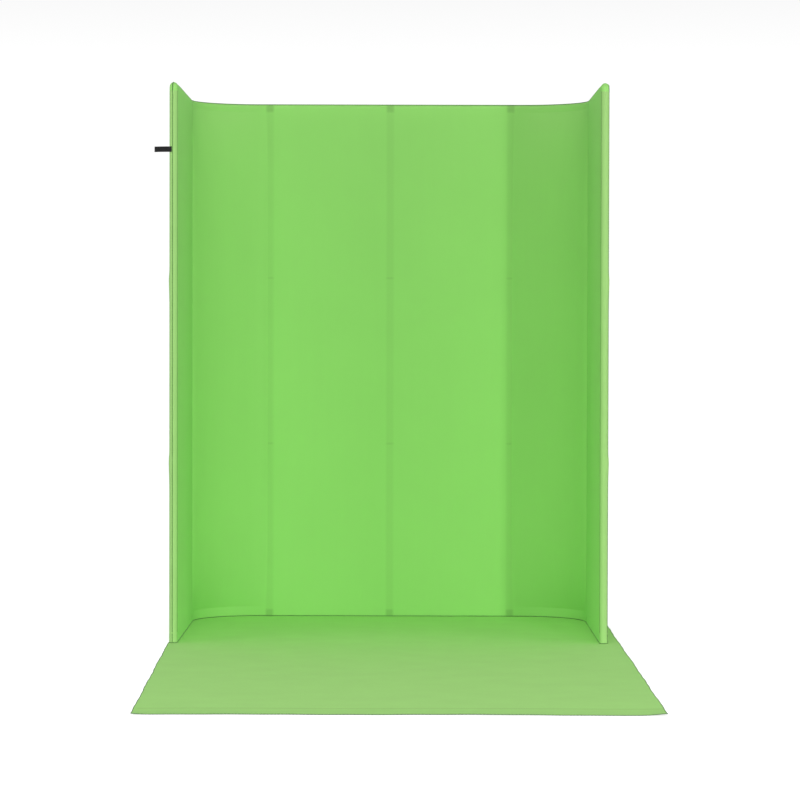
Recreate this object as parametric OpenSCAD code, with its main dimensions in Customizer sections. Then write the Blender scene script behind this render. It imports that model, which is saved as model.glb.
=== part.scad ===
// Free-standing U-shaped fabric backdrop: a knock-down tube frame in a stretched cover, with a floor mat.
// X runs to the right, Y to the back and Z up. The origin is on the floor, midway between the front posts.

/* [Overall] */
// Height over the cover
overall_h = 2300; // [1700:50:2800]
// Width over the cover
overall_w = 1800; // [1500:50:2600]
// Depth over the cover, from the front posts to the back wall
overall_d = 1303; // [1000:50:2000]
// Bend radius of the corner rails, on their centre line
corner_r = 298; // [150:10:350]

/* [Tubes] */
// Outside diameter of every tube
tube_d = 28; // [22:1:36]
// Wall of every tube
tube_wall = 1.6; // [1:0.1:2.5]
// Radial clearance of a spigot in its tube
spigot_fit = 0.05; // [0.02:0.01:0.1]
// Length of a spigot that a post stands on
post_spigot_l = 60; // [40:5:90]
// Length of a spigot that a rail is pushed onto
rail_spigot_l = 30; // [20:5:50]
// Wall of a hollow spigot
spigot_wall = 1.8; // [1:0.1:2.5]
// How much wider than the tube's radius an end elbow bends, which also sets the height of the tees' collars
elbow_land = 6; // [5:1:20]
// How far a tee runs past its collar, each way along the rail
tee_land = 2; // [1:1:15]

/* [Snap buttons] */
// Diameter of a button's head
button_d = 8; // [6:0.5:10]
// Radial clearance of a button in its hole
button_fit = 0.1; // [0.05:0.05:0.2]
// Distance from a post joint down to its button
button_drop = 30; // [20:1:40]
// How far a button stands out of the tube
button_proud = 0.8; // [0.4:0.1:0.8]
// How far a button is pressed in
button_travel = 3; // [2.5:0.1:3.2]
// Thickness of a button's spring strip
spring_t = 0.6; // [0.4:0.1:0.8]

/* [Cover] */
// Clearance between the tubes and the cover
cover_gap = 1.6; // [1.6:0.1:3]
// Thickness of the cover fabric
cover_t = 0.8; // [0.6:0.1:1.5]
// Thickness of the folded hem
hem_t = 1.6; // [1.2:0.1:2]
// Height of the folded hem
hem_h = 43; // [35:1:70]
// Thickness of the grip tape on the base rail
tape_t = 0.9; // [0.6:0.1:1]
// Share of the way to a straight line that the wall pulls in at the corners
corner_pull = 0.6; // [0:0.05:0.9]
// Gap at a seam between two panels
seam_gap = 0.3; // [0.2:0.1:1]

/* [Floor mat] */
// Length of the mat, front to back
mat_l = 3800; // [2400:50:5000]
// Width of the mat's front edge
mat_front_w = 1793; // [1600:1:2400]
// Width of the mat's back edge
mat_back_w = 1883; // [1600:1:2500]
// Distance from the front posts to the mat's front edge
mat_ahead = 2470; // [1000:10:3600]
// How far the middle of the front edge lies to the right
mat_front_shift = 46; // [0:1:60]
// How far the middle of the back edge lies to the right
mat_back_shift = 11; // [0:1:60]
// Thickness of the mat
mat_t = 1.2; // [0.8:0.1:4]
// Clearance between the mat and what stands on it
mat_gap = 0.3; // [0.3:0.1:1]

/* [Label] */
// Length of the side label
label_l = 70; // [40:1:90]
// Height of the side label
label_h = 22.5; // [15:0.5:40]
// Thickness of the side label
label_t = 0.8; // [0.5:0.1:1.5]
// Height of the label's middle as a share of the overall height
label_share = 0.88; // [0.5:0.01:0.95]

/* [Hidden] */
$fn = 48;
tube_r = tube_d / 2;
bore_r = tube_r - tube_wall;
spigot_r = bore_r - spigot_fit;
spigot_bore_r = spigot_r - spigot_wall;
elbow_r = tube_r + elbow_land;
tee_half = tube_r + tee_land;
cover_in = tube_r + cover_gap;
cover_out = cover_in + cover_t;
hem_mid = (cover_in + cover_out) / 2;
hem_in = hem_mid - hem_t / 2;
hem_out = hem_mid + hem_t / 2;

// Plan of the frame, on the centre line of its rails
half_w = overall_w / 2 - cover_out;
depth = overall_d - 2 * cover_out;
corner_lead = tee_half + rail_spigot_l;
bend_x = half_w - corner_r;
bend_y = depth - corner_r;
pole_x = bend_x - corner_lead;
side_y = bend_y - corner_lead;

// Heights of the rails and the post joints
base_z = mat_t + mat_gap + tube_r;
top_z = overall_h - cover_out;
post_z = base_z + elbow_r;
section_l = (top_z - elbow_r - post_z) / 3;
hem_z = mat_t + 2 * mat_gap;
wall_z0 = hem_z + hem_h + seam_gap;
wall_z1 = top_z - elbow_r - seam_gap;

// The wall between two corner posts pulls in most at middle height
corner_steps = 10;
wall_rows = 14;
corner_path = 2 * corner_lead + corner_r * PI / 2;
corner_chord = norm([half_w - pole_x, depth - side_y]);
pull_fade = corner_chord / PI;

flange_r = button_d / 2 + 1.5;
flange_t = 1;
flange_x = sqrt(pow(spigot_bore_r, 2) - pow(flange_r, 2)) - 0.2;
spring_w = flange_r * 1.3;
spring_arm_l = 20;
spring_in_x = flange_x - flange_t - button_travel - 0.2;
spring_out_x = -sqrt(pow(spigot_bore_r, 2) - pow(spring_w / 2, 2)) + 0.3;

POSTS = [
    ["front_left", -half_w, 0, 180],
    ["side_left", -half_w, side_y, 180],
    ["back_left", -pole_x, depth, 90],
    ["back_centre", 0, depth, 90],
    ["back_right", pole_x, depth, 90],
    ["side_right", half_w, side_y, 0],
    ["front_right", half_w, 0, 0]
];
SECTIONS = ["lower", "middle", "upper"];
JOINTS = ["low", "high"];
LEVELS = ["base", "top"];
SIDES = [["left", -1], ["right", 1]];
RUNS = ["side", "corner", "back"];

function post_name(p, k) = str("post_", p[0], "_", SECTIONS[k]);
function button_name(p, k) = str("button_", p[0], "_", JOINTS[k]);
function rail_name(level, run, side) = str(level, "_rail_", run, "_", side[0]);

// ---- Frame ----

// Puts a fitting drawn with its post upwards on the base rail, or turned over on the top rail
module on_rail(level) {
    translate([0, 0, level == "top" ? top_z : base_z])
        mirror([0, 0, level == "top" ? 1 : 0])
            children();
}

// A rod of radius r along +Y from the origin
module rod_y(r, l) {
    rotate([-90, 0, 0]) cylinder(r = r, h = l);
}

// A quarter of a torus that turns from the post, upwards at y = 0, into the rail, along +Y at z = 0
module elbow_sweep() {
    translate([0, elbow_r, elbow_r])
        rotate([0, 90, 0])
            rotate([0, 0, -90])
                rotate_extrude(angle = 90)
                    children();
}

// The right half of a rail's run as a solid rod of radius r, longer by over at its open ends
module run_rod(run, r, over) {
    if (run == "side")
        translate([half_w, elbow_r - over, 0])
            rod_y(r, side_y - tee_half - elbow_r + 2 * over);
    if (run == "back")
        translate([tee_half - over, depth, 0])
            rotate([0, 0, -90]) rod_y(r, pole_x - 2 * tee_half + 2 * over);
    if (run == "corner") {
        translate([half_w, side_y + tee_half - over, 0])
            rod_y(r, rail_spigot_l + over);
        translate([pole_x + tee_half - over, depth, 0])
            rotate([0, 0, -90]) rod_y(r, rail_spigot_l + over);
        translate([bend_x, bend_y, 0])
            rotate_extrude(angle = 90) translate([corner_r, 0]) circle(r = r);
    }
}

module rail(level, run, side) {
    color("silver")
        on_rail(level)
            mirror([side[1] < 0 ? 1 : 0, 0, 0])
                difference() {
                    run_rod(run, tube_r, 0);
                    run_rod(run, bore_r, 1);
                }
}

// A hollow spigot that stands up from the origin
module spigot(l) {
    difference() {
        cylinder(r = spigot_r, h = l);
        translate([0, 0, 2]) cylinder(r = spigot_bore_r, h = l);
    }
}

module elbow() {
    elbow_sweep() translate([elbow_r, 0]) circle(r = tube_r);
    translate([0, 0, elbow_r]) spigot(post_spigot_l);
    translate([0, elbow_r, 0]) rotate([-90, 0, 0]) spigot(rail_spigot_l);
}

// A tee on a rail that runs along X
module tee() {
    rotate([0, 90, 0]) cylinder(r = tube_r, h = 2 * tee_half, center = true);
    cylinder(r = tube_r, h = elbow_r);
    translate([0, 0, elbow_r]) spigot(post_spigot_l);
    for (turn = [90, -90])
        rotate([0, turn, 0]) translate([0, 0, tee_half]) spigot(rail_spigot_l);
}

module elbows(level) {
    color("dimgray")
        on_rail(level)
            for (x = [-half_w, half_w])
                translate([x, 0, 0]) elbow();
}

module tees(level) {
    color("dimgray")
        on_rail(level)
            for (p = POSTS)
                if (p[2] > 0)
                    translate([p[1], p[2], 0]) rotate([0, 0, p[3] + 90]) tee();
}

// ---- Posts ----

// Places children at a post's joint, with +X turned outwards
module at_joint(p, k) {
    translate([p[1], p[2], post_z + (k + 1) * section_l])
        rotate([0, 0, p[3]])
            children();
}

// The hole that a button's head comes through, from the post's axis outwards
module button_hole() {
    translate([0, 0, -button_drop])
        rotate([0, 90, 0])
            cylinder(r = button_d / 2 + button_fit, h = tube_r + 1);
}

module post_section(p, k) {
    color("silver")
        difference() {
            translate([p[1], p[2], post_z + k * section_l])
                difference() {
                    cylinder(r = tube_r, h = section_l);
                    translate([0, 0, -1]) cylinder(r = bore_r, h = section_l + 2);
                }
            if (k < 2) at_joint(p, k) button_hole();
        }
}

module post_spigots() {
    color("gray")
        for (p = POSTS, k = [0:1])
            at_joint(p, k)
                difference() {
                    cylinder(r = spigot_r, h = 2 * post_spigot_l, center = true);
                    cylinder(r = spigot_bore_r, h = 2 * post_spigot_l + 2, center = true);
                    button_hole();
                }
}

module button(p, k) {
    head_r = button_d / 2;
    stem_x = flange_x - flange_t / 2;
    bevel = button_proud / 2;
    color("gainsboro")
        at_joint(p, k)
            translate([0, 0, -button_drop])
                rotate([0, 90, 0]) {
                    translate([0, 0, flange_x - flange_t]) cylinder(r = flange_r, h = flange_t);
                    translate([0, 0, stem_x]) cylinder(r = head_r, h = tube_r + bevel - stem_x);
                    translate([0, 0, tube_r + bevel]) cylinder(r1 = head_r, r2 = head_r - bevel, h = bevel);
                }
}

// A strip bent to a U, drawn with its moving arm where a pressed button holds it
module button_springs() {
    bend_in = (spring_in_x - spring_out_x) / 2 - spring_t;
    color("lightsteelblue")
        for (p = POSTS, k = [0:1])
            at_joint(p, k)
                translate([0, 0, -button_drop - spring_arm_l]) {
                    for (x = [spring_in_x - spring_t, spring_out_x])
                        translate([x, -spring_w / 2, 0])
                            cube([spring_t, spring_w, spring_arm_l + button_d / 2]);
                    translate([(spring_in_x + spring_out_x) / 2, 0, 0])
                        rotate([-90, 0, 0])
                            rotate_extrude(angle = 180)
                                translate([bend_in, -spring_w / 2])
                                    square([spring_t, spring_w]);
                }
}

// ---- Plan outline, shared by the hem, the sleeve and the tape ----

// Everything within a distance of the rails' centre line
module plan_band(a) {
    for (s = [-1, 1]) {
        translate([s * half_w, 0]) circle(r = a);
        translate([s * half_w - a, 0]) square([2 * a, bend_y]);
    }
    for (s = [0, 1])
        mirror([s, 0])
            translate([bend_x, bend_y])
                intersection() {
                    difference() {
                        circle(r = corner_r + a);
                        circle(r = corner_r - a);
                    }
                    square(corner_r + a);
                }
    translate([-bend_x, depth - a]) square([2 * bend_x, 2 * a]);
}

// Sweeps a section, drawn with +X away from the bay and +Y up, round the whole rail behind the elbows
module plan_sweep() {
    for (s = [0, 1])
        mirror([s, 0, 0]) {
            translate([half_w, bend_y, 0])
                rotate([90, 0, 0]) linear_extrude(bend_y - elbow_r) children();
            translate([bend_x, bend_y, 0])
                rotate_extrude(angle = 90) translate([corner_r, 0]) children();
        }
    translate([-bend_x, depth, 0])
        rotate([90, 0, 90]) linear_extrude(2 * bend_x) children();
}

// The tape lies on the outer side of the rail, under its middle, so that it runs on below the tees' collars
module grip_tape() {
    reach = tube_r + tape_t;
    color("darkgreen")
        translate([0, 0, base_z])
            plan_sweep()
                intersection() {
                    difference() {
                        circle(r = reach);
                        circle(r = tube_r);
                    }
                    polygon([[0, 0], [2 * reach, -2 * reach], [2 * reach, -tape_t]]);
                }
}

// ---- Cover ----

module sleeve_section() {
    difference() {
        union() {
            circle(r = cover_out);
            translate([-cover_out, -elbow_r]) square([2 * cover_out, elbow_r]);
        }
        circle(r = cover_in);
        translate([-cover_in, -2 * elbow_r]) square([2 * cover_in, 2 * elbow_r]);
    }
}

// The sleeve round an elbow: a half ring outside the bend and a flat cheek on either side of it
module sleeve_tip_section() {
    difference() {
        union() {
            translate([elbow_r, 0]) circle(r = cover_out);
            translate([0, -cover_out]) square([elbow_r, 2 * cover_out]);
        }
        translate([elbow_r, 0]) circle(r = cover_in);
        translate([-1, -cover_in]) square([elbow_r + 1, 2 * cover_in]);
    }
}

module cover_top() {
    color("limegreen") {
        translate([0, 0, top_z]) plan_sweep() sleeve_section();
        for (x = [-half_w, half_w])
            translate([x, 0, 0]) on_rail("top") elbow_sweep() sleeve_tip_section();
    }
}

module cover_hem() {
    color("forestgreen")
        translate([0, 0, hem_z])
            linear_extrude(hem_h)
                difference() {
                    plan_band(hem_out);
                    plan_band(hem_in);
                }
}

// How far the wall has pulled in at height z, from 0 at the rails
function pull(z) = corner_pull * (1 - exp(-(z - wall_z0) / pull_fade) - exp(-(wall_z1 - z) / pull_fade));

// The right corner's plan from the back post to the side post: [path share, point on the rail]
corner_points = concat(
    [[0, [pole_x, depth]]],
    [for (i = [0:corner_steps]) let (turn = 90 * i / corner_steps) [
        (corner_lead + corner_r * turn * PI / 180) / corner_path,
        [bend_x + corner_r * sin(turn), bend_y + corner_r * cos(turn)]
    ]],
    [[1, [half_w, side_y]]]
);

function corner_plan(share) = [
    for (c = corner_points)
        let (line = [pole_x, depth] + c[0] * [half_w - pole_x, side_y - depth])
        c[1] + share * (line - c[1])
];

function reversed(list) = [for (i = [len(list) - 1:-1:0]) list[i]];

function mirrored(list) = [for (q = reversed(list)) [-q[0], q[1]]];

// The wall's centre line from the left front post round to the right one
function wall_plan(share) = let (right = concat(corner_plan(share), [[half_w, 0]]))
    concat(mirrored(right), [[0, depth]], right);

function left_normal(a, b) = [a[1] - b[1], b[0] - a[0]] / norm(b - a);

// The centre line moved out by a, or in where a is negative
function moved(path, a) = [
    for (i = [0:len(path) - 1])
        let (
            before = left_normal(path[max(i - 1, 0)], path[max(i, 1)]),
            after = left_normal(path[min(i, len(path) - 2)], path[min(i + 1, len(path) - 1)])
        )
        path[i] + a * (before + after) / (1 + before * after)
];

// Points round the front of a post, from one angle to another
function post_wrap(x, a, from, to) = [
    for (i = [0:8]) let (turn = from + (to - from) * i / 8) [x + a * cos(turn), a * sin(turn)]
];

function front_line(share, a) = let (
    line = moved(wall_plan(share), -a),
    last = len(line) - 1
) [for (i = [0:last]) i == 0 || i == last ? line[i] + [0, seam_gap] : line[i]];

function back_line(share, a) = concat(
    post_wrap(-half_w, a, -1, -172),
    moved(wall_plan(share), a),
    post_wrap(half_w, a, -8, -179)
);

// A closed sheet between two grids of points that have the same rows and columns
module sheet(outside, inside) {
    rows = len(outside);
    cols = len(outside[0]);
    flat = [for (grid = [outside, inside], row = grid, q = row) q];
    function at(side, r, c) = (side * rows + r) * cols + c;
    function quad(a, b, c, d) = [[a, b, c], [a, c, d]];
    faces = concat(
        [for (r = [0:rows - 2], c = [0:cols - 2])
            each quad(at(0, r, c), at(0, r + 1, c), at(0, r + 1, c + 1), at(0, r, c + 1))],
        [for (r = [0:rows - 2], c = [0:cols - 2])
            each quad(at(1, r, c), at(1, r, c + 1), at(1, r + 1, c + 1), at(1, r + 1, c))],
        [for (c = [0:cols - 2]) each quad(at(0, 0, c), at(0, 0, c + 1), at(1, 0, c + 1), at(1, 0, c))],
        [for (c = [0:cols - 2]) let (top = rows - 1)
            each quad(at(0, top, c + 1), at(0, top, c), at(1, top, c), at(1, top, c + 1))],
        [for (r = [0:rows - 2]) each quad(at(0, r + 1, 0), at(0, r, 0), at(1, r, 0), at(1, r + 1, 0))],
        [for (r = [0:rows - 2])
            each quad(at(0, r, cols - 1), at(0, r + 1, cols - 1), at(1, r + 1, cols - 1), at(1, r, cols - 1))]
    );
    polyhedron(points = flat, faces = faces, convexity = 10);
}

// Row heights, closer together near the rails
wall_heights = [
    for (i = [0:wall_rows]) wall_z0 + (wall_z1 - wall_z0) * (1 - cos(180 * i / wall_rows)) / 2
];

function raised(line, z) = [for (q = line) [q[0], q[1], z]];

module cover_front() {
    color("limegreen")
        sheet(
            [for (z = wall_heights) raised(front_line(pull(z), cover_in), z)],
            [for (z = wall_heights) raised(front_line(pull(z), cover_out), z)]
        );
}

module cover_back() {
    color("green")
        sheet(
            [for (z = wall_heights) raised(back_line(pull(z), cover_out), z)],
            [for (z = wall_heights) raised(back_line(pull(z), cover_in), z)]
        );
}

// The label starts on the front of the left post, a little to the outside
module side_label() {
    start_x = -half_w - cover_out * sin(23);
    color("black")
        translate([
            start_x - label_l,
            -cover_out - seam_gap - label_t,
            overall_h * label_share - label_h / 2
        ])
            cube([label_l, label_t, label_h]);
}

module floor_mat() {
    front_y = -mat_ahead;
    back_y = mat_l - mat_ahead;
    color("yellowgreen")
        linear_extrude(mat_t)
            polygon([
                [mat_front_shift - mat_front_w / 2, front_y],
                [mat_front_shift + mat_front_w / 2, front_y],
                [mat_back_shift + mat_back_w / 2, back_y],
                [mat_back_shift - mat_back_w / 2, back_y]
            ]);
}

for (level = LEVELS, run = RUNS, side = SIDES)
    rail(level, run, side);
for (level = LEVELS) elbows(level);
for (level = LEVELS) tees(level);
for (p = POSTS, k = [0:2]) post_section(p, k);
post_spigots();
button_springs();
for (p = POSTS, k = [0:1]) button(p, k);
grip_tape();
cover_top();
cover_front();
cover_back();
cover_hem();
side_label();
floor_mat();
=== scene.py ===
import math

import bmesh
import bpy
import numpy as np
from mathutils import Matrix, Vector


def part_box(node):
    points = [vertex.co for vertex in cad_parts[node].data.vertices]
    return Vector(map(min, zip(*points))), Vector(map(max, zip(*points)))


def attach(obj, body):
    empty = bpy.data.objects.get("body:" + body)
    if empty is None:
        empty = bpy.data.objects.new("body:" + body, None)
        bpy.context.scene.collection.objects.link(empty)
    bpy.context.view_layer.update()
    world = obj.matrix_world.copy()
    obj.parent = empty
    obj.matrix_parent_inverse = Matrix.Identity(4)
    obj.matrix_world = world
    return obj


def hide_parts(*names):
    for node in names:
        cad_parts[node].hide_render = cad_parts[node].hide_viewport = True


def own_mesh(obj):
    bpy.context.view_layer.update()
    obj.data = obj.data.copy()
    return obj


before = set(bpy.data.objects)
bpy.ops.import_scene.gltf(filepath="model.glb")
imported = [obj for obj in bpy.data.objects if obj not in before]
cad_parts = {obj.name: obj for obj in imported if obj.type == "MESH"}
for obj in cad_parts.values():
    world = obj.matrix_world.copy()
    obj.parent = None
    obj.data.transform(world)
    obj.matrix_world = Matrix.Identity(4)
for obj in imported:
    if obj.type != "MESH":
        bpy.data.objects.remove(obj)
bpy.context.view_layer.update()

# ---- Camera ----
# A long lens far in front of the backdrop, at the height of its middle, so the side walls hardly open.

camera = bpy.data.objects.new("camera", bpy.data.cameras.new("camera"))
bpy.context.scene.collection.objects.link(camera)
camera.data.lens = 143.67
camera.data.sensor_width = 36
camera.location = (0.045, -13.087, 1.2685)
camera.rotation_euler = (math.radians(90 - 1.176), math.radians(-0.127), 0)
bpy.context.scene.camera = camera
bpy.context.scene.view_settings.view_transform = "Standard"


# ---- Sizes in metres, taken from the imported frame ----

def middle(node):
    low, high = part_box(node)
    return (low + high) / 2


front_post = middle("post_front_right_lower")
side_post = middle("post_side_right_lower")
back_post = middle("post_back_right_lower")
HALF_W = front_post.x
DEPTH = back_post.y
SIDE_Y = side_post.y
POLE_X = back_post.x
TOP_Z = middle("top_rail_back_left").z
COVER_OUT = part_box("cover_top")[1].x - HALF_W
COVER_T = 0.0008
COVER_R = COVER_OUT - COVER_T / 2
WALL_Z0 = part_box("cover_front")[0].z
WALL_Z1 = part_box("cover_front")[1].z
SEAM_GAP = 0.0003
SLEEVE_Z = WALL_Z1 + SEAM_GAP
ELBOW_R = TOP_Z - SLEEVE_Z
HEM_Z0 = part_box("cover_hem")[0].z
HEM_Z1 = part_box("cover_hem")[1].z
HEM_T = 0.0016
HEM_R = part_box("cover_hem")[1].x - HALF_W - HEM_T / 2
JOINT_Z = [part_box(f"post_front_left_{section}")[1].z for section in ("lower", "middle")]
BUTTON_Z = [middle(f"button_front_left_{joint}").z for joint in ("low", "high")]

# The rails' plan: straight back, two round corners, straight sides.
# Path distances run along it from the middle of the back, negative to the left.
CORNER_R = 0.298
BEND_X = HALF_W - CORNER_R
BEND_Y = DEPTH - CORNER_R
ARC = CORNER_R * math.pi / 2
PATH = BEND_X + ARC + BEND_Y
CORNER_PATH = PATH - SIDE_Y - POLE_X
POST_PATHS = [0, POLE_X, POLE_X + CORNER_PATH, PATH]

# The overlocked seams: half their width, how far they stand off the knit, and the loops of thread along them
SEAM_R = 0.0016
SEAM_LIFT = 0.0004
LOOP_PITCH = 0.006
LOOP_WAIST = 0.78
OVERLOCK_R = 0.0013
HEM_OVERLOCK_TALL = 0.0016
HEM_OVERLOCK_Z = HEM_Z0 + 0.0014
MAT_OVERLOCK_TALL = 0.0020
UP = np.array([0, 0, 1])

# Degrees that the seams lean: towards the bay on the top rail, and outwards on each front post
TOP_SEAM_LEAN = 35
LEFT_SEAM_TURN = 10
RIGHT_SEAM_TURN = 62
SEAM_SLIDE_REACH = 0.3

# How the stretched fabric leaves the plan: the share of each corner that it cuts off between two posts,
# how far from a rail that builds up, how softly it bends round a post, and how far the two skins draw
# together between posts
CORNER_PULL = 0.6
PULL_FADE = math.hypot(HALF_W - POLE_X, DEPTH - SIDE_Y) / math.pi
POST_ROUND = 0.022
DRAW_IN = 0.005
DRAW_REACH = 0.09
RAIL_FADE = 0.11

# The bump over a snap button: its height, half its width, and how far it runs up and down the post
BUTTON_BULGE = 0.0024
BULGE_HALF_W = 0.017
BULGE_UP = 0.024
BULGE_DOWN = 0.062

# Tension waves: upright ones about the corners, and level ones over the whole wall
UPRIGHT_WAVE = 0.0006
UPRIGHT_WAVE_STEP = 0.0105
WAVE_CENTRE = 1.15
WAVE_REACH = 0.25
LEVEL_WAVES = [(0.0003, 0.026), (0.00015, 0.016)]


# ---- Small helpers ----

def pick(piece):
    """Makes a piece the only selected object and the active one."""
    bpy.ops.object.select_all(action="DESELECT")
    piece.select_set(True)
    bpy.context.view_layer.objects.active = piece


def apply_modifier(piece, kind, **settings):
    """Adds a modifier with its settings and makes its result the piece's own mesh."""
    modifier = piece.modifiers.new(kind.lower(), kind)
    for name, value in settings.items():
        setattr(modifier, name, value)
    pick(piece)
    bpy.ops.object.modifier_apply(modifier=modifier.name)


def mesh_piece(name, points, faces, uvs):
    """A new object from points, faces and one UV pair per point, with doubled points merged."""
    mesh = bpy.data.meshes.new(name)
    mesh.from_pydata([tuple(p) for p in points], [], faces)
    corners = np.zeros(len(mesh.loops), int)
    mesh.loops.foreach_get("vertex_index", corners)
    mesh.uv_layers.new(name="metres").data.foreach_set("uv", np.asarray(uvs, np.float32)[corners].ravel())
    edit = bmesh.new()
    edit.from_mesh(mesh)
    bmesh.ops.remove_doubles(edit, verts=edit.verts, dist=1e-6)
    edit.to_mesh(mesh)
    edit.free()
    piece = bpy.data.objects.new(name, mesh)
    bpy.context.scene.collection.objects.link(piece)
    return piece


def grid_piece(name, points, uvs, close_rows=False, close_columns=False):
    """A sheet through rows and columns of points. A closed direction joins its last line to its first."""
    rows, columns = points.shape[:2]
    spots = np.arange(rows * columns).reshape(rows, columns)
    if close_rows:
        spots = np.vstack([spots, spots[:1]])
    if close_columns:
        spots = np.hstack([spots, spots[:, :1]])
    corners = [spots[:-1, :-1], spots[:-1, 1:], spots[1:, 1:], spots[1:, :-1]]
    faces = np.stack(corners, axis=-1).reshape(-1, 4).tolist()
    return mesh_piece(name, points.reshape(-1, 3), faces, uvs.reshape(-1, 2))


def finish_mesh(piece, angle=50):
    """Faces outwards and smooth shading, with edges sharper than the angle kept."""
    pick(piece)
    bpy.ops.object.mode_set(mode="EDIT")
    bpy.ops.mesh.select_all(action="SELECT")
    bpy.ops.mesh.normals_make_consistent(inside=False)
    bpy.ops.object.mode_set(mode="OBJECT")
    bpy.ops.object.shade_smooth_by_angle(angle=math.radians(angle))


def spaced(start, end, coarse, fine, reach, centres):
    """Numbers from start to end, a coarse step apart, and a fine step apart within reach of the centres."""
    numbers = [start]
    while numbers[-1] < end:
        near = min(abs(numbers[-1] - c) for c in centres) < reach
        numbers.append(numbers[-1] + (fine if near else coarse))
    numbers = np.array(numbers)
    return start + (numbers - start) * (end - start) / (numbers[-1] - start)


# ---- Plan and skins of the cover ----

def eased(distance, reach):
    """From 0 to 1 over about one reach, without a kink at 0."""
    return 1 - np.exp(-(distance / reach) ** 2)


def pull(z):
    """Share of the way to a straight line that the wall pulls in at the corners, at height z."""
    fade = 1 - math.exp(-(z - WALL_Z0) / PULL_FADE) - math.exp(-(WALL_Z1 - z) / PULL_FADE)
    return CORNER_PULL * max(fade, 0)


def plan_line(s, share=0.0):
    """The wall's centre line at path distances s, as an array of x and y."""
    away = np.abs(s)
    turn = np.clip((away - BEND_X) / CORNER_R, 0, math.pi / 2)
    x = np.minimum(away, BEND_X) + CORNER_R * np.sin(turn)
    y = BEND_Y + CORNER_R * np.cos(turn) - np.maximum(away - BEND_X - ARC, 0)
    along = np.clip((away - POLE_X) / CORNER_PATH, 0, 1)
    share = share * eased(along * CORNER_PATH, POST_ROUND) * eased((1 - along) * CORNER_PATH, POST_ROUND)
    x = x + share * (POLE_X + along * (HALF_W - POLE_X) - x)
    y = y + share * (DEPTH + along * (SIDE_Y - DEPTH) - y)
    return np.stack([np.sign(s) * x, y], axis=-1)


def plan_out(s, share=0.0):
    """Unit directions away from the bay at path distances s."""
    step = 0.001
    run = plan_line(s + step, share) - plan_line(s - step, share)
    run /= np.linalg.norm(run, axis=-1, keepdims=True)
    return np.stack([-run[:, 1], run[:, 0]], axis=-1)


def rail_fade(z):
    """0 where the fabric leaves a rail, 1 well away from both."""
    low, high = max(z - WALL_Z0, 0), max(WALL_Z1 - z, 0)
    return (1 - math.exp(-low / RAIL_FADE)) * (1 - math.exp(-high / RAIL_FADE))


def drawn_in(s, z):
    """How far the two skins are drawn together between the posts."""
    gap = np.min([np.abs(np.abs(s) - p) for p in POST_PATHS], axis=0)
    return DRAW_IN * eased(gap, DRAW_REACH) * rail_fade(z)


def ripples(s, z, side):
    """Upright tension waves by the corners, and low level ones over the whole wall."""
    gap = np.min([np.abs(np.abs(s) - p) for p in POST_PATHS], axis=0)
    corner = UPRIGHT_WAVE * np.exp(-((np.abs(s) - WAVE_CENTRE) / WAVE_REACH) ** 2)
    sway = 0.5 * np.sin(1.9 * z + side)
    upright = corner * np.sin(s / UPRIGHT_WAVE_STEP + sway) * np.sin(s * 6.1 + side)
    (broad, broad_step), (close, close_step) = LEVEL_WAVES
    level = broad * np.sin(z / broad_step + 1.3 * np.sin(2.3 * s + side))
    level = level + close * np.sin(z / close_step - 1.7 * s)
    return (upright + level) * rail_fade(z) * eased(gap, DRAW_REACH)


def button_bulge(s, z):
    """The skin tents over each button and runs back to the post further below it than above."""
    over = np.sum([np.exp(-((np.abs(s) - p) / BULGE_HALF_W) ** 2) for p in POST_PATHS], axis=0)
    tall = sum(math.exp(-((z - b) / (BULGE_UP if z > b else BULGE_DOWN)) ** 2) for b in BUTTON_Z)
    return BUTTON_BULGE * over * tall


def post_wrap(side, start, end, steps):
    """Directions round a front post, from one angle to another, in degrees."""
    turn = np.radians(np.linspace(start, end, steps))
    return np.stack([np.cos(turn), np.sin(turn)], axis=-1), np.full((steps, 2), (side * HALF_W, 0.0))


# The grid that both skins share: closer columns by the posts, closer rows by the rails, joints and buttons
COLUMNS = spaced(0, PATH, 0.021, 0.0045, 0.03, POST_PATHS)
COLUMNS = np.concatenate([-COLUMNS[:0:-1], COLUMNS])
ROWS = spaced(HEM_Z1, SLEEVE_Z, 0.022, 0.011, 0.09, BUTTON_Z + JOINT_Z + [WALL_Z0, WALL_Z1])
WRAP_STEPS = 22


def at_height(line, z):
    """Points or directions in plan, given one height."""
    return np.column_stack([line, np.full(len(line), z)])


def inner_wall():
    """The skin towards the bay, one panel from front post to front post."""
    s = COLUMNS.copy()
    s[[0, -1]] = -PATH + SEAM_GAP, PATH - SEAM_GAP
    rows = []
    for z in ROWS:
        offset = COVER_R - drawn_in(s, z) + ripples(s, z, 0.4)
        rows.append(at_height(plan_line(s, pull(z)) - offset[:, None] * plan_out(s, pull(z)), z))
    uvs = np.stack(np.meshgrid(s, ROWS), axis=-1)
    return grid_piece("wall_front", np.array(rows), uvs)


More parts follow.
